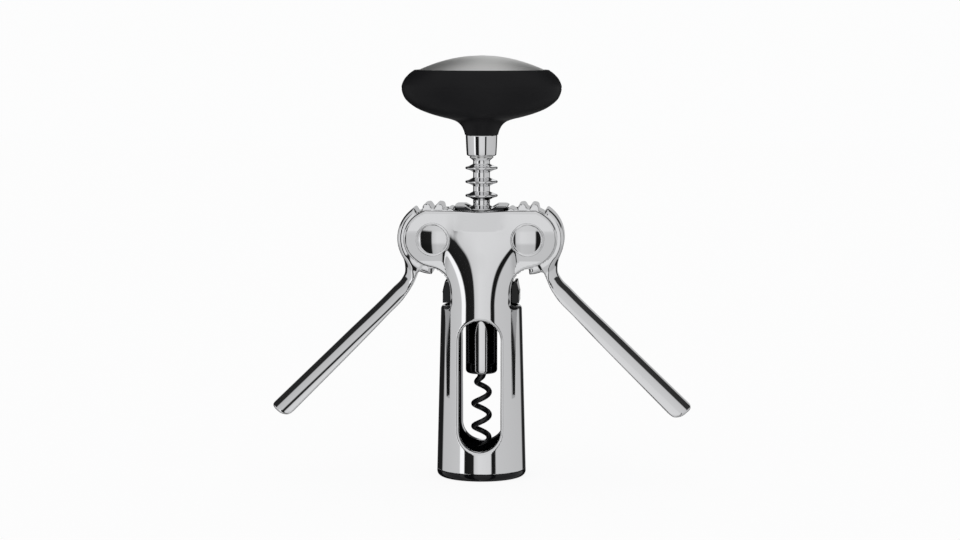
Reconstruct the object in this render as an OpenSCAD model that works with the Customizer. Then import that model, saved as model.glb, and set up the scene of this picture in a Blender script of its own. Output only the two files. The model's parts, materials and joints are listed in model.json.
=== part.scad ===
// Wing corkscrew: chromed casting, geared levers, ring rack, soft oval knob.
// Origin at the bottom centre of the base, +Z up, the front faces -Y.

/* [Body] */
// Outer radius of the tube at its foot
tube_foot_r = 20.4; // [19:0.1:22]
// Outer radius of the tube at its rim
tube_rim_r = 18.5; // [17.8:0.1:19]
// Radius of the bore in the tube
tube_bore_r = 16.6; // [16:0.1:16.8]
// Height of the tube's side rims, where the lever slots begin
slot_z = 79; // [76:0.5:79]
// Height of the cheeks' top edge
cheek_top_z = 123; // [122:0.5:124]
// Radius of each cheek round its pivot
cheek_r = 13.4; // [12.5:0.1:14]
// Play between a gear's side and a cheek
cheek_gap = 0.5; // [0.3:0.05:0.8]
// Thickness of a cheek
cheek_wall = 3.5; // [3:0.1:3.6]
// How far the cheeks' top band leans inward
cheek_lean = 1.2; // [0:0.1:1.6]
// Half-width of the neck above the tube
neck_half = 14; // [13:0.1:14.3]
// Radius of the hollow under each cheek
neck_fillet = 10.5; // [8:0.5:12]
// Half-width of the window
window_half = 9.4; // [8:0.1:10]
// Lower end of the window
window_low = 13.6; // [13.2:0.1:18]
// Upper end of the window
window_high = 73.2; // [70:0.1:75]

/* [Base] */
// Height of the base ring's flange
flange_h = 3.3; // [2.5:0.1:5]
// Rounding of the flange's lower edge
flange_round = 2.4; // [1:0.1:2.4]
// Radius of the mouth that takes the bottle's neck
mouth_r = 15.3; // [14.5:0.1:15.6]
// Top of the base ring's sleeve
sleeve_top = 12.8; // [9:0.1:13]

/* [Levers] */
// Distance from the middle to each pivot
hub_x = 21.5; // [21.3:0.1:21.7]
// Height of the pivots
hub_z = 110; // [109:0.5:111]
// Module of the gear teeth
gear_module = 2; // [1.98:0.01:2.02]
// Number of teeth on a full turn of the gear
gear_teeth = 16; // [16:1:16]
// Radius of the teeth's tips
tooth_tip_r = 16.5; // [16.3:0.05:16.6]
// Radius of the gear between its teeth
tooth_root_r = 13.7; // [13.4:0.1:13.8]
// Play between a tooth and the rings, along the rack
backlash = 0.36; // [0.3:0.02:0.6]
// Width of the gear across the body
gear_w = 20.6; // [19:0.1:20.8]
// Radius of the rim that has no teeth
rim_r = 16.4; // [16:0.1:16.5]
// Angle at which the rim ends above
rim_start = 122; // [118:1:125]
// Angle at which the rim ends below
rim_end = 268; // [255:1:270]
// Width of the arm across the body
arm_w = 20; // [16:0.1:20.4]
// Length of an arm from its pivot to its tip
arm_reach = 108; // [95:0.5:112]
// Slope of an arm below the level
arm_slope = 45; // [43:0.5:47]
// Thickness of an arm near its neck
arm_t_root = 7; // [6:0.1:8]
// Thickness of an arm at its tip
arm_t_tip = 8.8; // [7:0.1:9.5]
// Rounding of the tip's upper corner
tip_upper_r = 1.6; // [1:0.1:3]
// Rounding of the tip's lower corner
tip_lower_r = 4; // [2:0.1:4.2]
// Distance from the pivot to the arm's middle line
arm_offset = 6.4; // [5.5:0.1:7]
// Rounding of the arm's outer edges
arm_round = 2.6; // [1:0.1:3]

/* [Pivots] */
// Radius of the pivot pins
axle_r = 4; // [3:0.1:5]
// Radius of the domed pivot caps
cap_r = 7.6; // [6.5:0.1:8]
// Height of a pivot cap
cap_h = 1.7; // [1.2:0.1:2.5]

/* [Rack and spindle] */
// Radius of the rack between its rings
rack_root_r = 3.85; // [3.6:0.05:4]
// Radius of the rack's rings
ring_r = 7.4; // [7.1:0.05:7.5]
// Thickness of a ring at its edge
ring_tip_t = 1.12; // [0.9:0.02:1.2]
// Height of the ferrule's lower edge
ferrule_low = 147.1; // [146:0.1:148]
// Height of the ferrule's upper edge
ferrule_high = 155.6; // [154:0.1:156]
// Radius of the ferrule at its top
ferrule_r = 7.15; // [6.8:0.05:7.4]
// Radius of the ferrule at its foot
ferrule_foot_r = 6.7; // [6.4:0.05:7]
// Radius of the spindle rod
rod_r = 2; // [1.7:0.05:2.4]
// Thickness of the thrust washers
washer_t = 0.8; // [0.5:0.1:1.2]
// Radius of the thrust washers
washer_r = 5.4; // [5:0.1:6]

/* [Worm] */
// Radius of the worm's hub
hub_r = 7.25; // [6.5:0.05:7.5]
// Height of the hub's lower edge
hub_low = 47.4; // [45:0.1:50]
// Height of the hub's upper edge
hub_high = 86; // [84:0.1:87]
// Rounding of the hub's lower edge
hub_round = 1.8; // [0.5:0.1:2.5]
// Height of the pin through the hub
hub_pin_z = 59.7; // [57:0.1:64]
// Outer radius of the worm's helix
worm_r = 4.8; // [4:0.1:5.5]
// Radius of the worm's wire
wire_r = 1.25; // [1:0.05:1.5]
// Height of one turn of the worm
worm_pitch = 10.6; // [9:0.1:12]
// Height of the worm's point
worm_tip_z = 13.7; // [13:0.1:18]
// Height at which the worm stands farthest right
worm_phase_z = 38.5; // [37:0.1:40]
// Radius of the worm's straight shank
shank_r = 2.2; // [1.8:0.05:2.5]

/* [Knob] */
// Half-width of the knob from side to side
knob_half_w = 36.5; // [32:0.5:40]
// Half-depth of the knob from front to back
knob_half_d = 18.5; // [16:0.5:20]
// Height of the knob's widest line
knob_mid_z = 177.8; // [176:0.1:179]
// Height of the rim round the steel plate
knob_rim_z = 185.7; // [184:0.1:187]
// Half-width of that rim
knob_rim_half = 30.7; // [28:0.1:31]
// Radius of the knob's neck
knob_neck_r = 7.7; // [7.3:0.05:8]
// Thickness of the soft grip
grip_wall = 2.2; // [1.6:0.1:3]
// Height of the steel plate's crown over the rim
plate_rise = 7.2; // [6:0.1:8]
// Width of the soft lip round the plate
lip = 1.4; // [1:0.1:2]

/* [Foil cutter] */
// Height of the cutter's lower edge over the tube's rim
cutter_gap = 1.4; // [1:0.1:2]
// Height of the cutter
cutter_h = 9.6; // [8:0.1:10]
// Half-width of the cutter across its arms
cutter_half = 17.4; // [17:0.1:17.6]
// Thickness of the cutter's arms
cutter_arm = 2.7; // [2.4:0.1:2.9]
// Thickness of the cutter's bow behind the neck
cutter_bow = 1.2; // [1:0.05:1.4]
// Height of the bow behind the neck
bow_h = 4.6; // [4:0.1:5.6]
// Radius of the cutting wheels
wheel_r = 1.7; // [1.5:0.1:1.8]
// Thickness of the cutting wheels
wheel_t = 1.6; // [1.4:0.1:1.8]
// Distance between the two wheels of an arm
wheel_gap = 9; // [8:0.1:10]

/* [Fits] */
// Radial play of a shaft in its hole
run_fit = 0.08; // [0.05:0.01:0.12]
// Play between pieces of one assembly that are pushed together
push_fit = 0.05; // [0.02:0.01:0.1]
// Play between pieces that pass each other
pass_gap = 0.4; // [0.3:0.05:0.5]

/* [Hidden] */
$fn = 64;
tiny = 0.01;
pressure_angle = 20;
pitch_r = gear_module * gear_teeth / 2;
base_r = pitch_r * cos(pressure_angle);
ring_pitch = PI * gear_module;
pitch_line_r = hub_x - pitch_r;
// half-thickness of a ring at a radius, with flanks that match the gear
function ring_half(r) = ring_tip_t / 2 + (ring_r - r) * tan(pressure_angle);
tooth_t = ring_pitch - 2 * ring_half(pitch_line_r) - backlash;
tooth_step = 360 / gear_teeth;
// angle of the gap that a ring of the rack fills when the levers are as shown
gap_angle = 0.6;
teeth_below = 3;
teeth_above = 5;
ring_zero_z = hub_z + pitch_r * gap_angle * PI / 180;
rings_above = 5;
rings_below = 3;
cheek_in_y = gear_w / 2 + cheek_gap;
cheek_y = cheek_in_y + cheek_wall;
blend_low = slot_z + 2;
blend_high = hub_z - 10;
crease_z = hub_z + 4;
cap_face_y = cheek_y;
rack_top = ferrule_low - washer_t;
rack_low = hub_high + washer_t;
rod_low = hub_low + 10;
nut_z = knob_neck_r + ferrule_high + 3;
nut_h = 3.6;
nut_r = 4.2;
rod_high = nut_z + nut_h + 1.5;
cutter_z = slot_z + cutter_gap;
wheel_z = cutter_z + cutter_h / 2;
wheel_proud = 0.4;
wheel_x = cutter_half - cutter_arm - wheel_proud + wheel_r;
wheel_bevel = 0.5;
cutter_in_r = tube_rim_r + 0.5;
cutter_front = -(wheel_gap / 2 + wheel_r + 0.5);
pin_r = 0.5;
shank_top = hub_low + 6;
CHROME = [0.78, 0.78, 0.79];
BLACK = [0.07, 0.07, 0.08];
STEEL = [0.66, 0.66, 0.66];

// ---- shared shapes ----

// Draws a flat shape of the X-Z plane as a plate from one distance to the other in Y.
module plate(from_y, to_y) {
    translate([0, to_y, 0]) rotate([90, 0, 0]) linear_extrude(to_y - from_y) children();
}

// A round bar along Y through a point of the X-Z plane.
module bar_y(x, z, r, from_y, to_y) {
    plate(from_y, to_y) translate([x, z]) circle(r);
}

// Skins a stack of oval rings, each [half_width, half_depth, z]; a closed stack ends where it starts.
module oval_loft(rings, closed = false) {
    n = 48;
    m = len(rings);
    pts = [for (ring = rings) for (i = [0 : n - 1])
        [ring[0] * cos(360 * i / n), ring[1] * sin(360 * i / n), ring[2]]];
    last = closed ? m - 1 : m - 2;
    sides = [for (j = [0 : last]) for (i = [0 : n - 1])
        let (a = j * n + i, b = j * n + (i + 1) % n, k = ((j + 1) % m) * n)
        each [[a, k + i, b], [b, k + i, k + (i + 1) % n]]];
    caps = closed ? [] : [[for (i = [0 : n - 1]) i], [for (i = [n - 1 : -1 : 0]) (m - 1) * n + i]];
    polyhedron(pts, concat(sides, caps), convexity = 6);
}

// ---- body ----

function smooth(t) = let (c = min(max(t, 0), 1)) c * c * (3 - 2 * c);
// outer face of the front and rear walls: round like the tube below, flat like the cheeks above;
// at the tube it stands back by a hair, so that the two make a clean joint line
joint_step = 0.08;
function round_y(x) = sqrt(pow(tube_rim_r - joint_step, 2) - pow(min(abs(x), neck_half), 2));
function lean(z) = cheek_lean * pow(max(z - crease_z, 0) / (cheek_top_z - crease_z), 2);
function wall_y(x, z) = let (t = smooth((z - blend_low) / (blend_high - blend_low)))
    (1 - t) * round_y(x) + t * cheek_y - lean(z);
function wall_t(z) = let (t = smooth((z - blend_low) / (blend_high - blend_low)))
    (1 - t) * (tube_rim_r - tube_bore_r) + t * cheek_wall;

// One curved wall, a grid of points on its outer face and one on its inner face.
module wall_sheet() {
    nx = 24;
    nz = 22;
    half = hub_x + cheek_r + 1;
    low = slot_z - 2;
    high = cheek_top_z + 0.5;
    function px(i) = -half + 2 * half * i / nx;
    function pz(j) = low + (high - low) * j / nz;
    outer = [for (j = [0 : nz]) for (i = [0 : nx]) [px(i), -wall_y(px(i), pz(j)), pz(j)]];
    inner = [for (j = [0 : nz]) for (i = [0 : nx])
        [px(i), -max(cheek_in_y, wall_y(px(i), pz(j)) - wall_t(pz(j))), pz(j)]];
    w = nx + 1;
    k = len(outer);
    grid = [for (j = [0 : nz - 1]) for (i = [0 : nx - 1])
        let (a = j * w + i, b = a + 1, c = a + w, d = c + 1)
        each [[a, c, b], [b, c, d], [k + a, k + b, k + c], [k + b, k + d, k + c]]];
    rim_x = [for (i = [0 : nx - 1]) let (t = nz * w + i)
        each [[i, i + 1, k + i], [i + 1, k + i + 1, k + i], [t, k + t, t + 1], [t + 1, k + t, k + t + 1]]];
    rim_z = [for (j = [0 : nz - 1]) let (a = j * w, c = a + w, b = a + nx, d = b + w)
        each [[a, k + a, c], [c, k + a, k + c], [b, d, k + b], [d, k + d, k + b]]];
    polyhedron(concat(outer, inner), concat(grid, rim_x, rim_z), convexity = 4);
}

// Front view of the neck and the cheeks.
module cheek_outline() {
    low = slot_z - 3;
    arc_z = hub_z - cheek_r - neck_fillet;
    difference() {
        union() {
            translate([-neck_half, low]) square([2 * neck_half, hub_z - low]);
            translate([-hub_x, hub_z - cheek_r]) square([2 * hub_x, cheek_top_z - hub_z + cheek_r]);
            for (side = [-1, 1]) translate([side * hub_x, hub_z]) circle(cheek_r);
        }
        for (side = [-1, 1]) translate([side * (neck_half + neck_fillet), arc_z]) circle(neck_fillet);
    }
    for (side = [-1, 1]) difference() {
        translate([side * (neck_half + neck_fillet / 2), arc_z + neck_fillet / 2 + 0.5])
            square([neck_fillet + 1, neck_fillet + 1], center = true);
        translate([side * (neck_half + neck_fillet), arc_z]) circle(neck_fillet);
    }
}

module window_outline() {
    translate([0, window_low + window_half]) circle(window_half);
    translate([0, window_high - window_half]) circle(window_half);
    translate([-window_half, window_low + window_half])
        square([2 * window_half, window_high - window_low - 2 * window_half]);
}

module tube() {
    rotate_extrude() polygon([
        [tube_bore_r, flange_h], [tube_foot_r, flange_h], [tube_rim_r, slot_z], [tube_bore_r, slot_z]]);
}

// The two guides that bridge the cheeks above the gears and steady the rack.
module guide_bridges() {
    top = cheek_top_z + 2;
    for (side = [0, 1]) mirror([side, 0, 0]) plate(-cheek_in_y - 0.6, cheek_in_y + 0.6)
        polygon([[-hub_x + 6, cheek_top_z - 5], [-hub_x + 6, cheek_top_z - 0.6], [-hub_x + 10.2, top],
            [-7.4, top], [-3.8, cheek_top_z - 0.1], [-3.8, hub_z + 6], [-6.5, hub_z + 6]]);
}

module body_casting() {
    color(CHROME) difference() {
        union() {
            tube();
            for (back = [0, 1]) mirror([0, back, 0]) intersection() {
                wall_sheet();
                plate(-tube_foot_r, 0) cheek_outline();
            }
            for (side = [-1, 1]) for (back = [0, 1]) mirror([0, back, 0])
                bar_y(side * hub_x, hub_z, cap_r - 0.4, -cap_face_y, -cheek_in_y);
            difference() {
                guide_bridges();
                for (side = [-1, 1])
                    bar_y(side * hub_x, hub_z, tooth_tip_r + pass_gap, -cheek_in_y, cheek_in_y);
            }
        }
        plate(-tube_foot_r - 1, tube_foot_r + 1) window_outline();
        for (side = [-1, 1]) bar_y(side * hub_x, hub_z, axle_r + push_fit, -cheek_y - 1, cheek_y + 1);
        translate([0, 0, hub_z]) cylinder(r = ring_r + run_fit * 4, h = cheek_top_z);
    }
}

module base_ring() {
    sleeve_r = tube_bore_r - push_fit;
    color(BLACK) rotate_extrude() {
        translate([mouth_r, 0]) square([tube_foot_r - flange_round - mouth_r, flange_h]);
        translate([tube_foot_r - flange_round - tiny, flange_round])
            square([flange_round + tiny, flange_h - flange_round]);
        intersection() {
            translate([tube_foot_r - flange_round, flange_round]) circle(flange_round);
            translate([tube_foot_r - flange_round - tiny, 0]) square([flange_round + tiny, flange_round + tiny]);
        }
        translate([mouth_r, 0]) square([sleeve_r - mouth_r, sleeve_top]);
    }
}

// ---- levers ----

function involute(a) = tan(a) * 180 / PI - a;
// half of a tooth's angle at a radius
function tooth_half(r) = tooth_t / 2 / pitch_r * 180 / PI + involute(pressure_angle)
    - involute(acos(min(base_r / r, 1)));
function polar(r, a) = [r * cos(a), r * sin(a)];

module tooth(at) {
    steps = 5;
    low = tooth_root_r - 0.5;
    rs = [for (i = [0 : steps]) base_r + (tooth_tip_r - base_r) * i / steps];
    polygon(concat(
        [polar(low, at - tooth_half(base_r))], [for (r = rs) polar(r, at - tooth_half(r))],
        [for (i = [steps : -1 : 0]) polar(rs[i], at + tooth_half(rs[i]))],
        [polar(low, at + tooth_half(base_r))]));
}

// The part of a disc between two angles.
module sector(r, from, to) {
    intersection() {
        circle(r);
        polygon(concat([[0, 0]], [for (i = [0 : 8]) polar(2 * r, from + (to - from) * i / 8)]));
    }
}

// The arm's outline, its middle line laid along +X from the pivot.
module arm_outline() {
    bend_x = rim_r + 12;
    neck_x = rim_r + 1.5;
    hull() {
        translate([bend_x, arm_offset]) circle(arm_t_root / 2, $fn = 32);
        translate([arm_reach - tip_upper_r, arm_offset - arm_t_tip / 2 + tip_upper_r])
            circle(tip_upper_r, $fn = 32);
        translate([arm_reach - 1.2 - tip_lower_r, arm_offset + arm_t_tip / 2 - tip_lower_r])
            circle(tip_lower_r, $fn = 32);
    }
    hull() {
        translate([bend_x, arm_offset]) circle(arm_t_root / 2, $fn = 32);
        translate([neck_x, arm_offset / 2]) circle(arm_t_root / 2, $fn = 32);
    }
    hull() {
        translate([neck_x, arm_offset / 2]) circle(arm_t_root / 2, $fn = 32);
        translate([tooth_root_r - 3, 0]) circle(arm_t_root / 2, $fn = 32);
    }
}

module lever_outline() {
    neck_round = 6;
    offset(delta = tiny) {
        circle(tooth_root_r);
        sector(rim_r, rim_start, rim_end);
        // the arm runs into the hub through a swept neck
        difference() {
            offset(r = -neck_round, $fn = 48) offset(r = neck_round, $fn = 48) {
                sector(tooth_root_r, 150, 262);
                sector(rim_r, 150, 262);
                rotate(180 + arm_slope) arm_outline();
            }
            sector(rim_r + 6, -80, rim_start);
        }
        for (i = [-teeth_below : teeth_above - 1]) tooth(gap_angle + tooth_step * (i + 0.5));
    }
}

// One lever with its gear, as the left one, drawn about its own pivot.
module lever() {
    difference() {
        union() {
            intersection() {
                plate(-gear_w / 2, gear_w / 2) lever_outline();
                plate(-gear_w / 2, gear_w / 2) circle(tooth_tip_r + 0.3);
            }
            intersection() {
                plate(-arm_w / 2, arm_w / 2) lever_outline();
                rotate([0, 180 - arm_slope, 0]) arm_section();
            }
        }
        bar_y(0, 0, axle_r + run_fit, -gear_w, gear_w);
    }
}

// What an arm keeps of its width: all of it round the hub, and beyond that a bar along X
// whose upper edges are rounded.
module arm_section() {
    upper = arm_offset - arm_t_tip / 2;
    side = arm_w / 2 - arm_round;
    bar_y(0, 0, rim_r + 12, -arm_w / 2, arm_w / 2);
    rotate([0, 90, 0]) rotate([0, 0, 180]) linear_extrude(arm_reach + 10) hull() {
        for (y = [-side, side]) translate([upper + arm_round, y]) circle(arm_round, $fn = 32);
        translate([2 * arm_t_tip, -arm_w / 2]) square([2 * arm_t_tip, arm_w]);
    }
}

module left_lever() {
    color(CHROME) translate([-hub_x, 0, hub_z]) lever();
}

module right_lever() {
    color(CHROME) mirror([1, 0, 0]) translate([-hub_x, 0, hub_z]) lever();
}

module axle(side) {
    color(STEEL) bar_y(side * hub_x, hub_z, axle_r, -cap_face_y, cap_face_y);
}

// A domed cap with a groove round its rim.
module pivot_cap(side, back) {
    dome = 0.5;
    groove = 0.35;
    color(CHROME) mirror([0, back, 0]) translate([side * hub_x, -cap_face_y, hub_z]) rotate([90, 0, 0])
        rotate_extrude() polygon([
            [0, 0], [cap_r, 0], [cap_r, cap_h - 0.5], [cap_r - 0.4, cap_h - 0.1], [cap_r - 0.7, cap_h - 0.1],
            [cap_r - 0.9, cap_h - 0.1 - groove], [cap_r - 1.2, cap_h - 0.1 - groove],
            for (i = [0 : 6]) let (r = (cap_r - 1.4) * (1 - i / 6))
                [r, cap_h - dome + dome * (1 - pow(r / cap_r, 2))]]);
}

// ---- rack and spindle ----

module ring_rack() {
    root = rack_root_r;
    base_half = ring_half(root);
    tip_half = ring_tip_t / 2;
    c = 0.25;
    color(CHROME) difference() {
        union() {
            translate([0, 0, rack_low]) cylinder(r = root, h = rack_top - rack_low);
            translate([0, 0, rack_top - 1.4]) cylinder(r1 = root, r2 = washer_r, h = 1.4);
            for (k = [-rings_below : rings_above]) translate([0, 0, ring_zero_z + k * ring_pitch])
                rotate_extrude() polygon([
                    [root - 1, -base_half], [root, -base_half], [ring_r - c, -tip_half - c * 0.3],
                    [ring_r, -tip_half + c], [ring_r, tip_half - c], [ring_r - c, tip_half + c * 0.3],
                    [root, base_half], [root - 1, base_half]]);
        }
        translate([0, 0, rack_low - 1]) cylinder(r = rod_r + run_fit, h = rack_top - rack_low + 2);
    }
}

module thrust_washer(z) {
    color(STEEL) translate([0, 0, z]) difference() {
        cylinder(r = washer_r, h = washer_t);
        translate([0, 0, -1]) cylinder(r = rod_r + run_fit, h = washer_t + 2);
    }
}

module spindle_rod() {
    color(STEEL) difference() {
        translate([0, 0, rod_low]) cylinder(r = rod_r, h = rod_high - rod_low);
        bar_y(0, hub_pin_z, 1, -rod_r - 1, rod_r + 1);
    }
}

module worm_hub() {
    color(CHROME) difference() {
        rotate_extrude() {
            translate([0, hub_low + hub_round]) square([hub_r, hub_high - hub_low - hub_round]);
            translate([0, hub_low]) square([hub_r - hub_round, hub_round + tiny]);
            intersection() {
                translate([hub_r - hub_round, hub_low + hub_round]) circle(hub_round);
                translate([hub_r - hub_round - tiny, hub_low]) square([hub_round + tiny, hub_round + tiny]);
            }
        }
        translate([0, 0, rod_low]) cylinder(r = rod_r + push_fit, h = hub_high);
        translate([0, 0, hub_low - 1]) cylinder(r = shank_r + push_fit, h = shank_top - hub_low + 1);
        bar_y(0, hub_pin_z, 1, -hub_r - 1, hub_r + 1);
    }
}

module hub_pin() {
    color(STEEL) bar_y(0, hub_pin_z, 1 - push_fit, -hub_r + 0.1, hub_r - 0.1);
}

// The helix, swept ring by ring along its own path, with a straight shank above and a point below.
module worm() {
    n = 10;
    steps = 90;
    path_r = worm_r - wire_r;
    coil_top = hub_low + 0.2;
    function t_z(t) = worm_tip_z + (shank_top - worm_tip_z) * t;
    function turn(t) = 360 * (min(t_z(t), coil_top) - worm_phase_z) / worm_pitch;
    function sweep_r(t) = path_r * smooth((coil_top - t_z(t)) / 7) * (0.75 + 0.25 * smooth(t * 8));
    function out(t) = [cos(turn(t)), sin(turn(t)), 0];
    function at(t) = sweep_r(t) * out(t) + [0, 0, t_z(t)];
    function unit(v) = v / norm(v);
    function wire(t) = min(0.15 + 9 * t, 1) * wire_r + (shank_r - wire_r) * smooth((t_z(t) - coil_top + 4) / 4);
    rings = [for (i = [0 : steps]) let (
            t = i / steps, d = unit(at(min(t + 0.002, 1)) - at(max(t - 0.002, 0))),
            u = unit(out(t) - (out(t) * d) * d), v = cross(d, u))
        [for (j = [0 : n - 1]) at(t) + wire(t) * (cos(360 * j / n) * u + sin(360 * j / n) * v)]];
    color(BLACK) sweep_rings(rings);
}

module sweep_rings(rings) {
    n = len(rings[0]);
    m = len(rings);
    pts = [for (ring = rings) each ring];
    sides = [for (j = [0 : m - 2]) for (i = [0 : n - 1])
        let (a = j * n + i, b = j * n + (i + 1) % n, c = a + n, d = b + n)
        each [[a, c, b], [b, c, d]]];
    caps = [[for (i = [0 : n - 1]) i], [for (i = [n - 1 : -1 : 0]) (m - 1) * n + i]];
    polyhedron(pts, concat(sides, caps), convexity = 8);
}

// ---- knob ----

module ferrule() {
    edge = 0.9;
    color(CHROME) difference() {
        rotate_extrude() polygon([
            [0, ferrule_low], [ferrule_foot_r - edge, ferrule_low],
            for (i = [1 : 5]) [ferrule_foot_r - edge + edge * sin(18 * i), ferrule_low + edge * (1 - cos(18 * i))],
            [ferrule_r, ferrule_high], [0, ferrule_high]]);
        translate([0, 0, ferrule_low - 1]) cylinder(r = rod_r + push_fit, h = 20);
    }
}

// half-width of the knob from its neck (t = 0) to its widest line (t = 1) and to its rim (t = 2)
neck_rise = knob_mid_z - ferrule_high;
function knob_z(t) = t <= 1 ? ferrule_high + neck_rise * t
    : knob_mid_z + (knob_rim_z - knob_mid_z) * (t - 1);
// share of the way out from the neck to the widest line, at a share of the height: a swept throat,
// then a flattened ellipse
throat = 0.365;
function flare(h) = h < throat ? 0.01 + 0.21 * pow(h / throat, 3.2)
    : pow(1 - pow((1 - h) / (1.02 - throat), 2), 0.55);
function knob_a(t) = t <= 1
    ? knob_neck_r + (knob_half_w - knob_neck_r) * flare((knob_z(t) - ferrule_high) / neck_rise)
    : knob_rim_half + (knob_half_w - knob_rim_half) * sqrt(1 - pow(t - 1, 2));
// half-depth that goes with a half-width: round at the neck, oval above it
function depth_of(a) = knob_neck_r + (a - knob_neck_r) * (knob_half_d - knob_neck_r) / (knob_half_w - knob_neck_r);
function knob_ring(t, inset) = let (a = knob_a(t)) [a - inset, depth_of(a) - inset, knob_z(t)];
lower_steps = 16;
upper_steps = 6;
knob_steps = [for (i = [0 : lower_steps - 1]) i / lower_steps, for (i = [0 : upper_steps]) 1 + i / upper_steps];

module knob_grip() {
    outer = [for (t = knob_steps) knob_ring(t, 0)];
    inner = [for (i = [len(knob_steps) - 1 : -1 : 0]) knob_ring(knob_steps[i], grip_wall)];
    color(BLACK) oval_loft(concat(outer, inner), closed = true);
}

module knob_core() {
    inset = grip_wall + push_fit;
    rings = [for (t = knob_steps) knob_ring(t, inset)];
    color(BLACK) difference() {
        oval_loft(rings);
        translate([0, 0, ferrule_high - 1]) cylinder(r = rod_r + push_fit, h = knob_rim_z);
        translate([0, 0, nut_z]) cylinder(r = nut_r + 0.8, h = knob_rim_z);
    }
}

module knob_nut() {
    color(STEEL) difference() {
        translate([0, 0, nut_z]) cylinder(r = nut_r, h = nut_h, $fn = 6);
        translate([0, 0, nut_z - 1]) cylinder(r = rod_r + push_fit, h = nut_h + 2);
    }
}

module knob_plate() {
    a = knob_rim_half - lip;
    b = depth_of(knob_rim_half) - lip;
    steps = 9;
    rings = [for (i = [0 : steps]) let (s = sin(88 * i / steps)) each (i == 0
        ? [[a, b, knob_rim_z], [a, b, knob_rim_z + 0.6]]
        : [[a * (1 - s) + 0.3, b * (1 - s) + 0.3,
            knob_rim_z + 0.6 + (plate_rise - 0.6) * (1 - pow(1 - s, 2))]])];
    color(STEEL) oval_loft(rings);
}

// ---- foil cutter ----

// Plan of the cutter: straight arms beside the neck, joined by a bow that bends round it.
module cutter_plan() {
    inner = cutter_half - cutter_arm;
    arm_end = cheek_in_y - pass_gap;
    difference() {
        intersection() {
            circle(cutter_in_r + cutter_bow);
            translate([-cutter_half, cutter_front]) square([2 * cutter_half, tube_foot_r - cutter_front]);
        }
        translate([-inner, cutter_front - 1]) square([2 * inner, arm_end - cutter_front + 1]);
        intersection() {
            circle(cutter_in_r);
            translate([-cutter_half, arm_end - tiny]) square([2 * cutter_half, tube_foot_r]);
        }
    }
}

module foil_cutter_frame() {
    color(BLACK) difference() {
        translate([0, 0, cutter_z]) linear_extrude(cutter_h) cutter_plan();
        // the bow is lower than the arms, whose inner faces clear the widening neck
        translate([-tube_foot_r, cheek_in_y - pass_gap, cutter_z + bow_h])
            cube([2 * tube_foot_r, tube_foot_r, cutter_h]);
        plate(cutter_front - 1, cheek_in_y) offset(delta = pass_gap) cheek_outline();
        for (side = [-1, 1]) for (y = [-1, 1]) translate([side * wheel_x, y * wheel_gap / 2, 0]) {
            translate([0, 0, wheel_z - wheel_t / 2 - 0.15]) cylinder(r = wheel_r + 0.3, h = wheel_t + 0.3);
            translate([0, 0, cutter_z - 1]) cylinder(r = pin_r + push_fit, h = cutter_h + 2);
        }
    }
}

module foil_wheel(side, y) {
    color(STEEL) translate([side * wheel_x, y * wheel_gap / 2, wheel_z]) difference() {
        rotate_extrude() polygon([
            [0, -wheel_t / 2], [wheel_r - wheel_bevel, -wheel_t / 2], [wheel_r, -0.05],
            [wheel_r, 0.05], [wheel_r - wheel_bevel, wheel_t / 2], [0, wheel_t / 2]]);
        translate([0, 0, -1]) cylinder(r = pin_r + run_fit, h = 2);
    }
}

module foil_wheel_pins() {
    color(STEEL) for (side = [-1, 1]) for (y = [-1, 1])
        translate([side * wheel_x, y * wheel_gap / 2, cutter_z]) cylinder(r = pin_r, h = cutter_h);
}

body_casting();
base_ring();
left_lever();
right_lever();
axle(-1);  // left_axle
axle(1);  // right_axle
pivot_cap(-1, 0);  // left_front_cap
pivot_cap(-1, 1);  // left_rear_cap
pivot_cap(1, 0);  // right_front_cap
pivot_cap(1, 1);  // right_rear_cap
ring_rack();
thrust_washer(rack_top);  // upper_thrust_washer
thrust_washer(hub_high);  // lower_thrust_washer
spindle_rod();
worm_hub();
hub_pin();
worm();
ferrule();
knob_core();
knob_grip();
knob_nut();
knob_plate();
foil_cutter_frame();
foil_wheel(-1, -1);  // foil_wheel_1
foil_wheel(-1, 1);  // foil_wheel_2
foil_wheel(1, -1);  // foil_wheel_3
foil_wheel(1, 1);  // foil_wheel_4
foil_wheel_pins();
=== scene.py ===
import json
import math

import bmesh
import bpy
import numpy as np
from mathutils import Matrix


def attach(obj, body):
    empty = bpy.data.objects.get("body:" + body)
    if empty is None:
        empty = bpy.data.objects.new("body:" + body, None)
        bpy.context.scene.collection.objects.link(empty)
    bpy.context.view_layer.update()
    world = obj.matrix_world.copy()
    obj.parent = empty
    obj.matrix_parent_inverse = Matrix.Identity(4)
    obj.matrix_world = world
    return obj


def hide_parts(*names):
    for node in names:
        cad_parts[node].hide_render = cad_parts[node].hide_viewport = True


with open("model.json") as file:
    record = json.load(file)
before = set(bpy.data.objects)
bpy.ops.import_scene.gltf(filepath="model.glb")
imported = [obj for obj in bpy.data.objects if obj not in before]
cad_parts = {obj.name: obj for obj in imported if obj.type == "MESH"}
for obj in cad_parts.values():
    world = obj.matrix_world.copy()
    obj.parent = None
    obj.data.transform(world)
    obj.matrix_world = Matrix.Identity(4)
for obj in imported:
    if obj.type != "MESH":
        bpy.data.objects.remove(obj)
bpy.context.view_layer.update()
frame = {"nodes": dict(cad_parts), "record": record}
nodes = frame["nodes"]
mm = 0.001
print("frame loaded")


def link(tree, fromSocket, toSocket):
    tree.links.new(fromSocket, toSocket)


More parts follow.
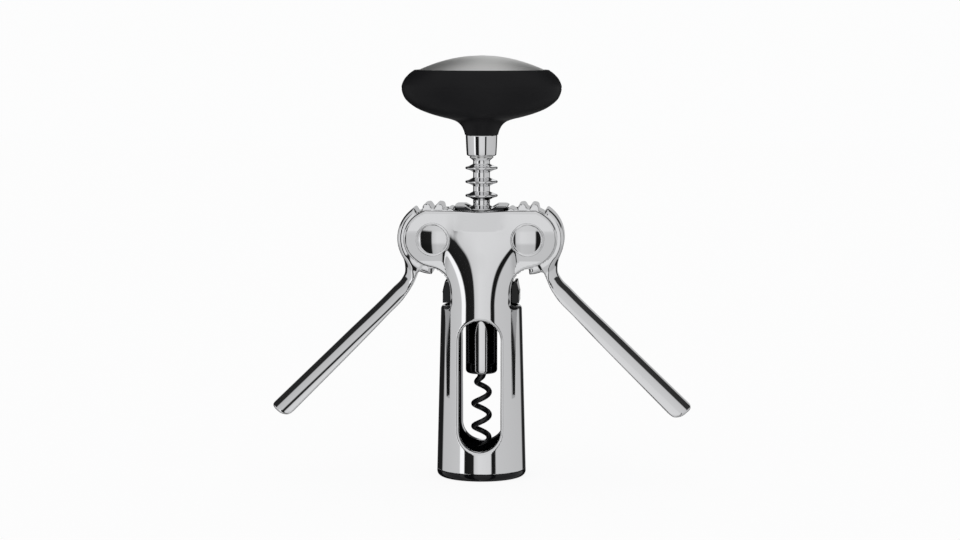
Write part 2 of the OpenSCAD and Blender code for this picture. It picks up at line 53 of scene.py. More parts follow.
def newMaterial(name, color, metallic, roughness, specular=0.5):
    mat = bpy.data.materials.new(name)
    mat.use_nodes = True
    shader = mat.node_tree.nodes["Principled BSDF"]
    shader.inputs["Base Color"].default_value = (*color, 1)
    shader.inputs["Metallic"].default_value = metallic
    shader.inputs["Roughness"].default_value = roughness
    shader.inputs["Specular IOR Level"].default_value = specular
    return mat


def noiseOn(mat, scale, stretch=(1, 1, 1), detail=4):
    tree = mat.node_tree
    coords = tree.nodes.new("ShaderNodeTexCoord")
    mapping = tree.nodes.new("ShaderNodeMapping")
    mapping.inputs["Scale"].default_value = stretch
    noise = tree.nodes.new("ShaderNodeTexNoise")
    noise.inputs["Scale"].default_value = scale
    noise.inputs["Detail"].default_value = detail
    link(tree, coords.outputs["Object"], mapping.inputs["Vector"])
    link(tree, mapping.outputs["Vector"], noise.inputs["Vector"])
    return noise


def rangeNode(tree, value, fromLow, fromHigh, low=0, high=1, smooth=False):
    span = tree.nodes.new("ShaderNodeMapRange")
    span.interpolation_type = "SMOOTHSTEP" if smooth else "LINEAR"
    for name, level in (("From Min", fromLow), ("From Max", fromHigh), ("To Min", low), ("To Max", high)):
        span.inputs[name].default_value = level
    link(tree, value, span.inputs["Value"])
    return span.outputs["Result"]


def varyRoughness(mat, noise, low, high):
    tree = mat.node_tree
    span = rangeNode(tree, noise.outputs["Fac"], 0, 1, low, high)
    link(tree, span, tree.nodes["Principled BSDF"].inputs["Roughness"])


def varyColor(mat, noise, dark, light):
    tree = mat.node_tree
    ramp = tree.nodes.new("ShaderNodeValToRGB")
    ramp.color_ramp.elements[0].color = (*dark, 1)
    ramp.color_ramp.elements[1].color = (*light, 1)
    ramp.color_ramp.elements[0].position = 0.35
    ramp.color_ramp.elements[1].position = 0.65
    link(tree, noise.outputs["Fac"], ramp.inputs["Fac"])
    link(tree, ramp.outputs["Color"], tree.nodes["Principled BSDF"].inputs["Base Color"])


def addBump(mat, noise, strength, distance):
    tree = mat.node_tree
    bump = tree.nodes.new("ShaderNodeBump")
    bump.inputs["Strength"].default_value = strength
    bump.inputs["Distance"].default_value = distance
    link(tree, noise.outputs["Fac"], bump.inputs["Height"])
    link(tree, bump.outputs["Normal"], tree.nodes["Principled BSDF"].inputs["Normal"])


def polishedChrome(name, roughness, wave):
    mat = newMaterial(name, (0.86, 0.86, 0.865), 1, roughness)
    varyRoughness(mat, noiseOn(mat, 140), roughness * 0.6, roughness * 1.5)
    addBump(mat, noiseOn(mat, 55, detail=1), 0.25, wave)
    return mat


def mathNode(tree, operation, first, second):
    node = tree.nodes.new("ShaderNodeMath")
    node.operation = operation
    for socket, value in ((node.inputs[0], first), (node.inputs[1], second)):
        if isinstance(value, float):
            socket.default_value = value
        else:
            link(tree, value, socket)
    return node.outputs["Value"]


# painted shade inside the casting: the bore and the space between the cheeks are coloured dark where shade
# falls, in metres
insideShade = {"boreRadius": 0.0169, "boreTop": 0.0795, "halfGap": 0.01125, "gapTop": 0.1245,
        "color": (0.03, 0.03, 0.032, 1)}


def paintInsideShade(mat):
    # painted shade: the bore and the space between the cheeks are coloured dark, standing in for the shade
    # inside them
    tree = mat.node_tree
    coords = tree.nodes.new("ShaderNodeTexCoord")
    parts = tree.nodes.new("ShaderNodeSeparateXYZ")
    link(tree, coords.outputs["Object"], parts.inputs["Vector"])
    x, y, z = (parts.outputs[name] for name in "XYZ")
    squares = mathNode(tree, "ADD", mathNode(tree, "MULTIPLY", x, x), mathNode(tree, "MULTIPLY", y, y))
    bore = mathNode(tree, "MULTIPLY", mathNode(tree, "LESS_THAN", squares, insideShade["boreRadius"] ** 2),
                    mathNode(tree, "LESS_THAN", z, insideShade["boreTop"]))
    gap = mathNode(tree, "LESS_THAN", mathNode(tree, "ABSOLUTE", y, 0.0), insideShade["halfGap"])
    gap = mathNode(tree, "MULTIPLY", gap, mathNode(tree, "GREATER_THAN", z, insideShade["boreTop"]))
    gap = mathNode(tree, "MULTIPLY", gap, mathNode(tree, "LESS_THAN", z, insideShade["gapTop"]))
    shader = tree.nodes["Principled BSDF"]
    ramp = tree.nodes.new("ShaderNodeValToRGB")
    ramp.color_ramp.elements[0].color = tuple(shader.inputs["Base Color"].default_value)
    ramp.color_ramp.elements[1].color = insideShade["color"]
    link(tree, mathNode(tree, "ADD", bore, gap), ramp.inputs["Fac"])
    link(tree, ramp.outputs["Color"], shader.inputs["Base Color"])


def makeMaterials():
    made = {}
    made["chrome_casting"] = polishedChrome("chromeCasting", 0.04, 0.00012)
    # the casting's chrome gets painted shade in its bore and between its cheeks
    paintInsideShade(made["chrome_casting"])
    made["chrome_lever"] = polishedChrome("chromeLever", 0.05, 0.0001)
    made["chrome_trim"] = polishedChrome("chromeTrim", 0.04, 0.00004)
    steel = newMaterial("turnedSteel", (0.62, 0.62, 0.61), 1, 0.28)
    varyRoughness(steel, noiseOn(steel, 900, (1, 1, 8)), 0.2, 0.36)
    made["steel_pin"] = steel
    plate = newMaterial("brushedPlate", (0.7, 0.7, 0.685), 1, 0.3)
    grain = noiseOn(plate, 160, (1, 40, 1), 6)
    varyRoughness(plate, grain, 0.36, 0.48)
    addBump(plate, grain, 0.12, 0.00006)
    made["brushed_plate"] = plate
    gloss = newMaterial("blackGloss", (0.004, 0.004, 0.005), 0, 0.1, 0.3)
    varyRoughness(gloss, noiseOn(gloss, 260), 0.06, 0.14)
    made["black_plastic"] = gloss
    inner = newMaterial("innerPlastic", (0.03, 0.03, 0.03), 0, 0.45)
    varyRoughness(inner, noiseOn(inner, 500), 0.4, 0.55)
    made["knob_plastic"] = inner
    rubber = newMaterial("softGrip", (0.006, 0.006, 0.007), 0, 0.42, 0.2)
    varyRoughness(rubber, noiseOn(rubber, 60), 0.42, 0.56)
    varyColor(rubber, noiseOn(rubber, 30), (0.005, 0.005, 0.006), (0.008, 0.008, 0.009))
    addBump(rubber, noiseOn(rubber, 2600, detail=3), 0.18, 0.00005)
    made["soft_grip"] = rubber
    coat = newMaterial("wormCoat", (0.012, 0.012, 0.013), 0, 0.3)
    speckle = noiseOn(coat, 1800)
    varyRoughness(coat, speckle, 0.24, 0.42)
    addBump(coat, speckle, 0.15, 0.00004)
    made["worm_coat"] = coat
    return made


materials = makeMaterials()
slotOf = {s["node"]: s["material_slot"] for s in frame["record"]["subparts"]}


def finishNodes():
    for name, obj in nodes.items():
        obj.data.materials.clear()
        obj.data.materials.append(materials[slotOf[name]])


finishNodes()
print("materials made")


def makeObject(name, points, faces, normals=None):
    mesh = bpy.data.meshes.new(name)
    size = faces.shape[1]
    mesh.vertices.add(len(points))
    mesh.vertices.foreach_set("co", np.ascontiguousarray(points * mm, np.float32).ravel())
    mesh.loops.add(faces.size)
    mesh.loops.foreach_set("vertex_index", faces.astype(np.int32).ravel())
    mesh.polygons.add(len(faces))
    mesh.polygons.foreach_set("loop_start", np.arange(0, faces.size, size, dtype=np.int32))
    mesh.update(calc_edges=True)
    mesh.polygons.foreach_set("use_smooth", np.ones(len(faces), bool))
    if normals is not None:
        mesh.normals_split_custom_set_from_vertices(normals.tolist())
    obj = bpy.data.objects.new(name, mesh)
    bpy.context.scene.collection.objects.link(obj)
    return obj


def dress(obj, body, slot, *replaced):
    obj.data.materials.append(materials[slot])
    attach(obj, body)
    if replaced:
        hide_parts(*replaced)


def sheetFaces(rows, columns, wrap):
    # quads of a grid of rows by columns, its columns closed into rings where wrap is set
    row, col = np.meshgrid(np.arange(rows - 1), np.arange(columns if wrap else columns - 1), indexing="ij")
    nextCol = (col + 1) % columns
    quads = np.stack([row * columns + col, row * columns + nextCol,
                      (row + 1) * columns + nextCol, (row + 1) * columns + col], -1)
    return quads.reshape(-1, 4)


def stackRings(halfX, halfY, height, sides):
    # x = halfX cos t, y = halfY sin t, one ring of points for each height
    turn = np.linspace(0, 2 * np.pi, sides, endpoint=False)
    x = halfX[:, None] * np.cos(turn)
    y = halfY[:, None] * np.sin(turn)
    z = np.repeat(height[:, None], sides, 1)
    return np.stack([x, y, z], -1).reshape(-1, 3), sheetFaces(len(halfX), sides, True)


def hermite(x, xs, ys):
    # smooth curve through the points (xs, ys), with slopes from their neighbours
    xs, ys = np.asarray(xs, float), np.asarray(ys, float)
    slope = np.gradient(ys, xs)
    i = np.clip(np.searchsorted(xs, x) - 1, 0, len(xs) - 2)
    h = xs[i + 1] - xs[i]
    t = np.clip((x - xs[i]) / h, 0, 1)
    return ((2 * t**3 - 3 * t**2 + 1) * ys[i] + (t**3 - 2 * t**2 + t) * h * slope[i]
            + (3 * t**2 - 2 * t**3) * ys[i + 1] + (t**3 - t**2) * h * slope[i + 1])


def easeStep(t):
    t = np.clip(t, 0, 1)
    return t * t * (3 - 2 * t)


def roundUnion(a, b, r):
    # union of two distance fields with a hollow fillet of radius r between them
    return np.maximum(r, np.minimum(a, b)) - np.hypot(np.maximum(r - a, 0), np.maximum(r - b, 0))


def roundCut(a, b, r):
    # intersection of two distance fields, its edge rounded to radius r
    return np.minimum(-r, np.maximum(a, b)) + np.hypot(np.maximum(r + a, 0), np.maximum(r + b, 0))


def gradient(field, p, step=0.02):
    g = np.empty_like(p)
    for axis in range(3):
        shift = np.zeros(3)
        shift[axis] = step
        g[:, axis] = (field(p + shift) - field(p - shift)) / (2 * step)
    return g


def fieldMesh(field, low, high, cell):
    # surface net of a distance field: a point in each cell that the surface crosses, drawn onto it
    counts = [int(math.ceil((h - l) / cell)) + 1 for l, h in zip(low, high)]
    axes = [l + cell * np.arange(n) for l, n in zip(low, counts)]
    grid = np.stack(np.meshgrid(*axes, indexing="ij"), -1).reshape(-1, 3)
    value = np.concatenate([field(part) for part in np.array_split(grid, 24)]).reshape(counts)
    inside = value < 0
    corners = [inside[i:counts[0] - 1 + i, j:counts[1] - 1 + j, k:counts[2] - 1 + k]
               for i in (0, 1) for j in (0, 1) for k in (0, 1)]
    total = np.sum(corners, axis=0)
    crossed = (total > 0) & (total < 8)
    index = np.full(crossed.shape, -1)
    index[crossed] = np.arange(crossed.sum())
    cells = np.argwhere(crossed)
    points = np.array(low) + cell * (cells + 0.5)
    quads = []
    for axis in range(3):
        b, c = (axis + 1) % 3, (axis + 2) % 3
        first = np.take(inside, range(counts[axis] - 1), axis)
        second = np.take(inside, range(1, counts[axis]), axis)
        at = np.argwhere(first != second)
        at = at[(at[:, b] > 0) & (at[:, c] > 0) & (at[:, b] < counts[b] - 1) & (at[:, c] < counts[c] - 1)]
        ring = []
        for db, dc in ((-1, -1), (0, -1), (0, 0), (-1, 0)):
            near = at.copy()
            near[:, b] += db
            near[:, c] += dc
            ring.append(index[tuple(near.T)])
        ring = np.stack(ring, 1)
        out = first[tuple(at.T)]
        quads.append(np.where(out[:, None], ring, ring[:, ::-1]))
    for _ in range(4):
        slope = gradient(field, points)
        reach = field(points) / np.maximum((slope**2).sum(1), 0.2)
        move = slope * reach[:, None]
        length = np.linalg.norm(move, axis=1, keepdims=True)
        points -= move * np.minimum(1, 0.6 * cell / np.maximum(length, 1e-9))
    normals = gradient(field, points)
    normals /= np.maximum(np.linalg.norm(normals, axis=1, keepdims=True), 1e-9)
    return points, np.concatenate(quads), normals


body = {
    "footR": 20.4, "rimR": 18.5, "bore": 16.55, "foot": 3.3, "rimZ": 79, "topZ": 123,
    "cheekR": 13.4, "cheekY": 14.3, "cheekIn": 10.8, "tubeWall": 1.95, "cheekWall": 3.5,
    # where the tube's round wall begins to flatten and how far up that takes; above the rim, the tube
    # gives way to the front and rear walls within aboveOver
    "flatFrom": 80, "flatOver": 38, "aboveOver": 3,
    "cove": 0.55, "coveOver": 9, "lean": 1.25, "creaseZ": 113.2, "creaseRise": 1.2, "creaseHalf": 12,
    "creaseSoft": 0.3, "middleHalf": 7, "middleOver": 9,
    "neck": 14.0, "neckFillet": 10.5, "slotFillet": 2.2, "sidePast": 2.2, "sideSoft": 0.5,
    "dip": 0.6, "dipHalf": 7, "edge": 1.3, "neckEdge": 0.4, "neckEdgeZ": 98, "neckEdgeOver": 10,
    "innerEdge": 0.4, "footEdge": 0.5,
    "window": 9.4, "windowLow": 13.6, "windowHigh": 73.2, "windowRound": 1.5,
    "hubX": 21.5, "hubZ": 110, "cell": 0.7, "low": (-36.4, -21.7, 2.1), "high": (36.4, 21.7, 126.5),
}


def castingField(p):
    s = body
    x, y, z = np.abs(p[:, 0]), np.abs(p[:, 1]), p[:, 2]
    radius = np.hypot(x, y)
    taper = np.clip((z - s["foot"]) / (s["rimZ"] - s["foot"]), 0, 1)
    outerR = s["footR"] + (s["rimR"] - s["footR"]) * taper
    flat = easeStep((z - s["flatFrom"]) / s["flatOver"])
    crease = s["creaseZ"] + s["creaseRise"] * np.minimum(x / s["creaseHalf"], 1) ** 2
    over = z - crease  # the wall swells a little up to the crease and tips back above it
    middle = 1 - easeStep((x - s["middleHalf"]) / s["middleOver"])
    beyond = 0.5 * (over + np.hypot(over, s["creaseSoft"])) / (s["topZ"] - s["creaseZ"])
    lean = (s["lean"] + s["cove"] * middle) * beyond
    lean -= s["cove"] * middle * np.clip(over / s["coveOver"] + 1, 0, 1) ** 2
    # soft smaller of x and the neck's width: -k log(exp(-x / k) + exp(-width / k))
    soft = s["sideSoft"]
    side = -soft * np.log(np.exp(-x / soft) + math.exp(-(s["neck"] + s["sidePast"]) / soft))
    roundY = np.sqrt(s["rimR"] ** 2 - side**2)
    outerY = np.maximum((1 - flat) * roundY + flat * s["cheekY"] - lean, s["cheekIn"] + 1)
    innerY = np.maximum(s["cheekIn"], outerY - (1 - flat) * s["tubeWall"] - flat * s["cheekWall"])
    above = easeStep((z - s["rimZ"]) / s["aboveOver"])
    outer = (1 - above) * (radius - outerR) + above * (y - outerY)
    inner = (1 - above) * (s["bore"] - radius) + above * (innerY - y)
    cheek = np.hypot(x - s["hubX"], z - s["hubZ"]) - s["cheekR"]
    bar = np.maximum.reduce([x - s["hubX"], s["hubZ"] - s["cheekR"] - z, z - s["topZ"]])
    shape = roundUnion(x - s["neck"], np.minimum(cheek, bar), s["neckFillet"])
    shape = roundUnion(shape, z - s["rimZ"], s["slotFillet"])
    top = z - s["topZ"] + s["dip"] * np.exp(-((x / s["dipHalf"]) ** 2))
    edge = s["edge"] + s["neckEdge"] * (1 - easeStep((z - s["neckEdgeZ"]) / s["neckEdgeOver"]))
    solid = roundCut(roundCut(outer, np.maximum(shape, top), edge), inner, s["innerEdge"])
    solid = roundCut(solid, s["foot"] - z, s["footEdge"])
    solid = np.minimum(solid, guideField(x, y, z))
    middleZ = np.clip(z, s["windowLow"] + s["window"], s["windowHigh"] - s["window"])
    slot = np.hypot(x, z - middleZ) - s["window"]
    return roundCut(solid, -slot, s["windowRound"])


guide = {"top": 125, "low": 116, "inX": 3.8, "outX": 15.5, "outSlopeX": 11.3, "inSlopeX": 7.4,
         "halfY": 11.2, "edge": 0.5, "gearRoom": 16.9, "rackRoom": 7.72}


def guideField(x, y, z):
    # the bridge over each gear, sloped at both ends and bored for the rack
    s = guide
    over = z - s["top"]
    slopes = np.maximum(over * 0.8 + (x - s["outSlopeX"]) * 0.5, over * 0.86 - (x - s["inSlopeX"]) * 0.5)
    bridge = np.maximum.reduce([over, slopes, s["inX"] - x, x - s["outX"], s["low"] - z])
    bridge = roundCut(bridge, y - s["halfY"], s["edge"])
    gear = s["gearRoom"] - np.hypot(x - body["hubX"], z - body["hubZ"])
    return np.maximum.reduce([bridge, gear, s["rackRoom"] - np.hypot(x, y)])


def makeCasting():
    points, quads, normals = fieldMesh(castingField, body["low"], body["high"], body["cell"])
    dress(makeObject("casting", points, quads, normals), "frame", "chrome_casting", "body_casting")


makeCasting()
print("casting made")


lever = {
    "root": 13.7, "rim": 16.4, "tip": 16.0, "pitch": 16, "half": 1.3, "flank": 0.42, "flankShare": 0.92,
    "toothFloor": 11, "toothRound": 0.7, "hubEdge": 0.35,
    "teeth": 8, "firstTooth": -55.65, "step": 22.5, "rimMiddle": 195, "rimHalf": 73,
    "gearW": 10.3, "armW": 10, "crown": 0.55, "outerEdge": 6.4, "rimEdge": 2.1, "flow": 1.6,
    "innerEdge": 0.5, "slope": 45, "cell": 0.62, "low": (-78, -11.5, -83), "high": (18, 11.5, 18),
    # upper and lower edge of the arm, as distances along it and across it from the pivot
    "upperAlong": [8, 15.2, 17.8, 20.3, 23.5, 30, 60, 112],
    "upperAcross": [-9, -5.0, -1.2, 1.5, 2.8, 3.0, 2.6, 1.75],
    "lowerAlong": [6, 14, 18.1, 23, 28, 40, 112], "lowerAcross": [3.4, 5.0, 6.6, 8.6, 9.8, 10.2, 11.0],
    # the arm starts at armFrom; two planes end it, each as shares along and across, and a distance
    "armFrom": 6, "endPlane": (0.984, 0.177, 106.4), "cornerPlane": (0.418, 0.908, 53.5),
    "endRound": 3, "endEdge": 1.4,
}


def leverField(p):
    s = lever
    u, y, v = p[:, 0], np.abs(p[:, 1]), p[:, 2]
    r = np.hypot(u, v)
    angle = np.degrees(np.arctan2(v, u))
    disc = r - s["root"]
    turn = np.abs((angle - s["rimMiddle"] + 180) % 360 - 180) - s["rimHalf"]
    rim = np.maximum(r - s["rim"], r * np.sin(np.radians(np.clip(turn, -90, 90))))
    which = np.clip(np.round((angle - s["firstTooth"]) / s["step"]), 0, s["teeth"] - 1)
    off = np.radians(np.abs(angle - s["firstTooth"] - which * s["step"])) * r
    flank = (off - s["half"] - (s["pitch"] - r) * s["flank"]) * s["flankShare"]
    tooth = roundCut(np.maximum(flank, s["toothFloor"] - r), r - s["tip"], s["toothRound"])
    gear = roundCut(np.minimum(disc, tooth), y - s["gearW"], s["hubEdge"])
    rim = roundCut(rim, y - s["gearW"], s["rimEdge"])
    slope = math.radians(s["slope"])
    along = -(u * math.cos(slope) + v * math.sin(slope))
    across = u * math.sin(slope) - v * math.cos(slope)
    upper = hermite(along, s["upperAlong"], s["upperAcross"])
    upper = upper + s["crown"] * (y / s["armW"]) ** 2 - across
    lower = across - hermite(along, s["lowerAlong"], s["lowerAcross"])
    end, corner = (along * a + across * b - far for a, b, far in (s["endPlane"], s["cornerPlane"]))
    end = roundCut(end, corner, s["endRound"])
    arm = roundCut(roundCut(upper, y - s["armW"], s["outerEdge"]), lower, s["innerEdge"])
    arm = roundCut(np.maximum(arm, s["armFrom"] - along), end, s["endEdge"])
    return np.minimum(gear, roundUnion(rim, arm, s["flow"]))


def makeLevers():
    points, quads, normals = fieldMesh(leverField, lever["low"], lever["high"], lever["cell"])
    for side, name in ((1, "left"), (-1, "right")):
        place = points * (side, 1, 1) + (-side * body["hubX"], 0, body["hubZ"])
        faces = quads if side == 1 else quads[:, ::-1]
        obj = makeObject(name + "LeverShell", place, faces, normals * (side, 1, 1))
        dress(obj, name + "_arm", "chrome_lever", name + "_lever")


makeLevers()
print("levers made")


knob = {
    # outline of the soft grip: height and half-width, from the neck up to the lip
    "height": [156.7, 157.4, 158.8, 160.9, 162.6, 163.7, 164.8, 166.5, 169.0, 172.9, 177.8, 181.6,
               184.2, 185.6, 186.1],
    "half": [7.62, 7.74, 8.2, 9.35, 11.3, 14.1, 18.6, 24.3, 30.0, 34.7, 36.45, 35.3, 33.1, 31.3, 30.6],
    # its underside, and the lip with the floor that the plate stands on
    "footHalf": [2.2, 7.2], "footHeight": [156.75, 156.7],
    "lipHalf": [30.2, 29.7, 29.4, 29.4, 2.4], "lipHeight": [186.15, 186.05, 185.8, 185.2, 185.2],
    "seam": 0.16, "seamZ": 177.8, "seamWidth": 0.25, "neck": 7.7, "depthShare": 0.375, "sides": 144,
    "plateHalf": 29.25, "plateLow": 185.3, "plateRise": 7.5,
}


def ovalDepth(half):
    return knob["neck"] + (half - knob["neck"]) * knob["depthShare"]


def makeGrip():
    # each ring is round at the neck's width and grows into an oval with its width
    s = knob
    count = len(s["height"])
    walk = np.linspace(0, count - 1, 14 * count)
    height = hermite(walk, np.arange(count), s["height"])
    half = hermite(walk, np.arange(count), s["half"])
    half -= s["seam"] * np.exp(-((height - s["seamZ"]) / s["seamWidth"]) ** 2)  # the mould's parting line
    half = np.concatenate([s["footHalf"], half, s["lipHalf"]])
    height = np.concatenate([s["footHeight"], height, s["lipHeight"]])
    depth = np.where(half > s["neck"], ovalDepth(half), half)
    dress(makeObject("grip", *stackRings(half, depth, height, s["sides"])), "spindle", "soft_grip",
          "knob_grip")


def makePlate():
    # dome whose rim stands square in the grip's lip
    s = knob
    t = np.linspace(0, 1, 60)
    half = s["plateHalf"] * np.sqrt(np.clip(1 - t**2, 0, 1))
    rise = s["plateLow"] + 0.5 + (s["plateRise"] - 0.65) * (1 - (half / s["plateHalf"]) ** 2)
    half = np.concatenate([[s["plateHalf"] - 0.1, s["plateHalf"]], half[:-1], [0.02]])
    rise = np.concatenate([[s["plateLow"], s["plateLow"] + 0.3], rise])
    depth = half * ovalDepth(s["plateHalf"]) / s["plateHalf"]
    dress(makeObject("plate", *stackRings(half, depth, rise, s["sides"])), "spindle", "brushed_plate",
          "knob_plate")


makeGrip()
makePlate()
print("knob made")


def lathe(name, radius, height, sides=96):
    radius, height = np.asarray(radius, float), np.asarray(height, float)
    return makeObject(name, *stackRings(radius, radius, height, sides))


rack = {
    "root": 3.85, "ring": 7.4, "pitch": 2 * math.pi, "zero": 110.1676, "below": 3, "above": 5,
    "tip": 0.6, "flankR": 5.9, "flankZ": 0.84, "base": 1.85, "low": 86.8, "high": 146.3, "bore": 2.1,
    "collar": 5.4, "edgeTurn": 70,
}


def makeRack():
    # root, flank, rounded edge and flank of each ring in turn
    s = rack
    root, base, high = s["root"], s["base"], s["high"]
    radius, height = [s["bore"], root - 0.2, root], [s["low"], s["low"], s["low"] + 0.2]
    edge = np.radians(np.linspace(-s["edgeTurn"], s["edgeTurn"], 9))
    for k in range(-s["below"], s["above"] + 1):
        z = s["zero"] + k * s["pitch"]
        radius += [root, root, root + 0.15, s["flankR"]]
        radius += [*(s["ring"] - s["tip"] + s["tip"] * np.cos(edge))]
        radius += [s["flankR"], root + 0.15, root, root]
        height += [z - base - 0.3, z - base - 0.12, z - base + 0.08, z - s["flankZ"]]
        height += [*(z + s["tip"] * np.sin(edge))]
        height += [z + s["flankZ"], z + base - 0.08, z + base + 0.12, z + base + 0.3]
    radius += [root, root, root + 0.15, s["collar"] - 0.1, s["collar"], s["bore"]]
    height += [high - 1.6, high - 1.4, high - 1.2, high - 0.15, high, high]
    dress(lathe("rackRings", radius, height), "rack", "chrome_trim", "ring_rack")


ferrule = {"bore": 2.1, "low": 147.1, "foot": 5.8, "round": 0.8, "roundR": 6.0, "roundZ": 147.9,
           "waist": 151, "waistR": 7.0,
           "rimR": [7.2, 7.25, 7.1], "rimZ": [155.6, 156.4, 156.65]}


def makeFerrule():
    s = ferrule
    turn = np.radians(np.linspace(0, 90, 8))
    radius = [s["bore"], s["foot"], *(s["roundR"] + s["round"] * np.sin(turn)), s["waistR"], *s["rimR"],
              s["bore"]]
    height = [s["low"], s["low"], *(s["roundZ"] - s["round"] * np.cos(turn)), s["waist"], *s["rimZ"],
              s["rimZ"][-1]]
    dress(lathe("ferruleShell", radius, height), "spindle", "chrome_trim", "ferrule")


worm = {
    "pitch": 10.6, "phase": 38.5, "coil": 3.55, "wire": 1.25, "shank": 2.2, "tip": 13.7,
    "coilTop": 47.6, "top": 53.4, "rings": 420, "sides": 20,
    "runIn": 7, "tipReach": 0.75, "tipOver": 5, "point": 0.1, "pointOver": 4.2, "shankOver": 4,
}


def makeWorm():
    # right-hand helix that runs into a straight shank above and a point below
    s = worm
    z = np.linspace(s["tip"], s["top"], s["rings"])
    turn = 2 * np.pi * (np.minimum(z, s["coilTop"]) - s["phase"]) / s["pitch"]
    widen = s["tipReach"] + (1 - s["tipReach"]) * easeStep((z - s["tip"]) / s["tipOver"])
    reach = s["coil"] * easeStep((s["coilTop"] - z) / s["runIn"]) * widen
    out = np.stack([np.cos(turn), np.sin(turn), 0 * turn], 1)
    path = reach[:, None] * out + np.stack([0 * z, 0 * z, z], 1)
    along = np.gradient(path, axis=0)
    along /= np.linalg.norm(along, axis=1, keepdims=True)
    side = out - (out * along).sum(1, keepdims=True) * along
    side /= np.linalg.norm(side, axis=1, keepdims=True)
    other = np.cross(along, side)
    wire = np.minimum(s["point"] + (z - s["tip"]) / s["pointOver"], 1) * s["wire"]
    wire += (s["shank"] - s["wire"]) * easeStep((z - s["coilTop"] + s["shankOver"]) / s["shankOver"])
    around = np.linspace(0, 2 * np.pi, s["sides"], endpoint=False)
    ring = np.cos(around)[None, :, None] * side[:, None] + np.sin(around)[None, :, None] * other[:, None]
    points = (path[:, None] + wire[:, None, None] * ring).reshape(-1, 3)
    dress(makeObject("wormWire", points, sheetFaces(s["rings"], s["sides"], True)), "spindle",
          "worm_coat", "worm")


hub = {"radius": 7.25, "round": 1.8, "roundR": 5.45, "roundZ": 49.2, "low": 47.4, "middle": 60,
       "edgeZ": 85.6, "edgeR": 7.0, "high": 86, "lowBore": 2.3, "highBore": 2.1}


def makeHub():
    s = hub
    turn = np.radians(np.linspace(0, 90, 10))
    radius = [s["lowBore"], *(s["roundR"] + s["round"] * np.sin(turn)), s["radius"], s["radius"],
              s["edgeR"], s["highBore"]]
    height = [s["low"], *(s["roundZ"] - s["round"] * np.cos(turn)), s["middle"], s["edgeZ"], s["high"],
              s["high"]]
    dress(lathe("hubSleeve", radius, height), "spindle", slotOf["worm_hub"], "worm_hub")


cap = {"radius": 7.6, "sink": 14.25, "rim": 1.05, "rimWidth": 1.05, "rimRound": 0.35, "back": -0.6,
       "dome": 1.55, "domeRise": 0.94, "tilt": 0.105, "groove": 0.35}


def makeCaps():
    # round rim, a groove inside it and a dome whose height falls with the square of the radius;
    # the dome leans outwards, away from the casting's middle
    s = cap
    turn = np.radians(np.linspace(0, 90, 7))
    inner = s["radius"] - s["rimWidth"]
    dome = np.linspace(1, 0.004, 40)
    radius = [0.02, s["radius"] - 0.4, s["radius"]]
    radius += [*(s["radius"] - s["rimRound"] + s["rimRound"] * np.cos(turn)), inner + 0.2, inner]
    radius += [*(inner * dome)]
    height = [s["back"], s["back"], 0, *(s["rim"] - s["rimRound"] + s["rimRound"] * np.sin(turn))]
    height += [s["rim"] - 0.05, s["rim"] - s["groove"], *(s["dome"] - s["domeRise"] * dome**2)]
    for side, sideName in ((-1, "left"), (1, "right")):
        for face, faceName in ((-1, "front"), (1, "rear")):
            name = f"{sideName}_{faceName}_cap"
            obj = lathe(sideName + faceName.capitalize() + "Cap", radius, height)
            co = np.empty(len(obj.data.vertices) * 3, np.float32)
            obj.data.vertices.foreach_get("co", co)
            co = co.reshape(-1, 3)
            inside = np.hypot(co[:, 0], co[:, 1]) < (inner + 0.01) * mm
            co[:, 2] -= side * s["tilt"] * co[:, 0] * (inside & (co[:, 2] > 0))
            # the lathe's axis Z is laid along Y by a quarter turn about X, outwards from the cheek
            place = np.stack([co[:, 0] + side * body["hubX"] * mm, face * (co[:, 2] + s["sink"] * mm),
                              -face * co[:, 1] + body["hubZ"] * mm], 1)
            obj.data.vertices.foreach_set("co", np.ascontiguousarray(place, np.float32).ravel())
            dress(obj, "frame", "chrome_trim", name)


cutter = {"inner": 14.15, "taperFrom": 86.5, "taper": 0.28,
          # where the solid's arms are found: in front of the bow, by their inner and outer faces
          "armFront": 12, "solidInner": 14.7, "near": 0.06, "solidOuter": 16.5, "weld": 0.00001}


def makeCutter():
    # the frame's own cutter, its arms brought in to the neck and narrowed towards their upper ends
    s = cutter
    mesh = nodes["foil_cutter_frame"].data.copy()
    co = np.empty(len(mesh.vertices) * 3, np.float32)
    mesh.vertices.foreach_get("co", co)
    co = co.reshape(-1, 3) / mm
    arm = co[:, 1] < s["armFront"]
    side = np.sign(co[:, 0])
    inner = arm & (np.abs(np.abs(co[:, 0]) - s["solidInner"]) < s["near"])
    outer = arm & (np.abs(co[:, 0]) > s["solidOuter"])
    co[inner, 0] = (side * s["inner"])[inner]
    co[outer, 0] -= (side * s["taper"] * np.maximum(co[:, 2] - s["taperFrom"], 0))[outer]
    faces = np.empty(len(mesh.loops), np.int32)
    mesh.loops.foreach_get("vertex_index", faces)
    obj = makeObject("cutterFrame", co.astype(float), faces.reshape(-1, 3))
    bpy.data.meshes.remove(mesh)
    shape = bmesh.new()
    shape.from_mesh(obj.data)
    bmesh.ops.remove_doubles(shape, verts=shape.verts, dist=s["weld"])
    shape.to_mesh(obj.data)
    shape.free()
    obj.data.polygons.foreach_set("use_smooth", np.zeros(len(obj.data.polygons), bool))
    dress(obj, "foil_cutter", slotOf["foil_cutter_frame"], "foil_cutter_frame")


makeCaps()
makeCutter()
makeRack()
makeFerrule()
makeWorm()
makeHub()
print("turned parts made")


camera = {"distance": 1.2, "height": 0.216, "azimuth": 3.0, "lens": 98.9, "aimX": -0.0007, "aimZ": 0.0948}


